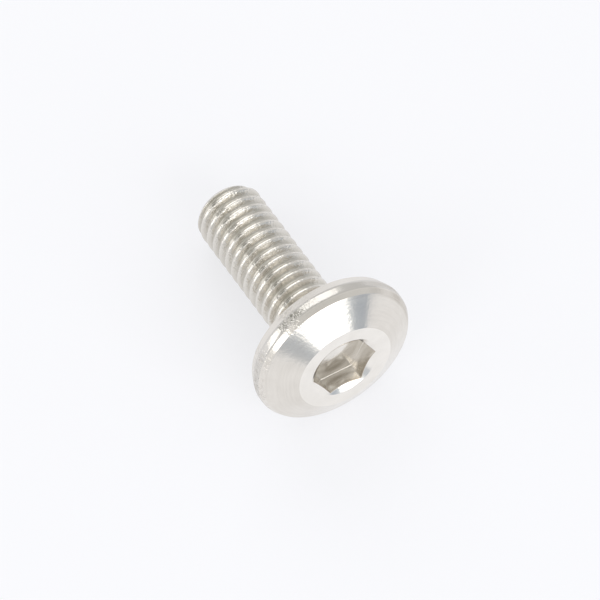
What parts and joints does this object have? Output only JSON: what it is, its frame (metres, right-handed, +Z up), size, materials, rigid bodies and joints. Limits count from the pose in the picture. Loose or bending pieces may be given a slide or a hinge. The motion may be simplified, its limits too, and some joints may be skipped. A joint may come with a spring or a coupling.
{
  "type": "hex socket machine screw",
  "caption": "Bright steel machine screw with a wide low cone head, a hex socket and a full metric thread, for clamping a panel or bracket to a tapped hole.",
  "frame": {"origin": "on the floor under the middle of the lying screw's bounding box", "axes": "+Z up, +X toward the head; the screw lies on its rim and on the thread by its tip, so its axis rises 14 degrees toward the head"},
  "size_m": [0.0206, 0.014, 0.0138],
  "materials": {
    "bright_steel": "bright, lightly turned and cold-formed stainless steel"
  },
  "bodies": {
    "root": {"screw": "bright_steel"}
  },
  "joints": []
}
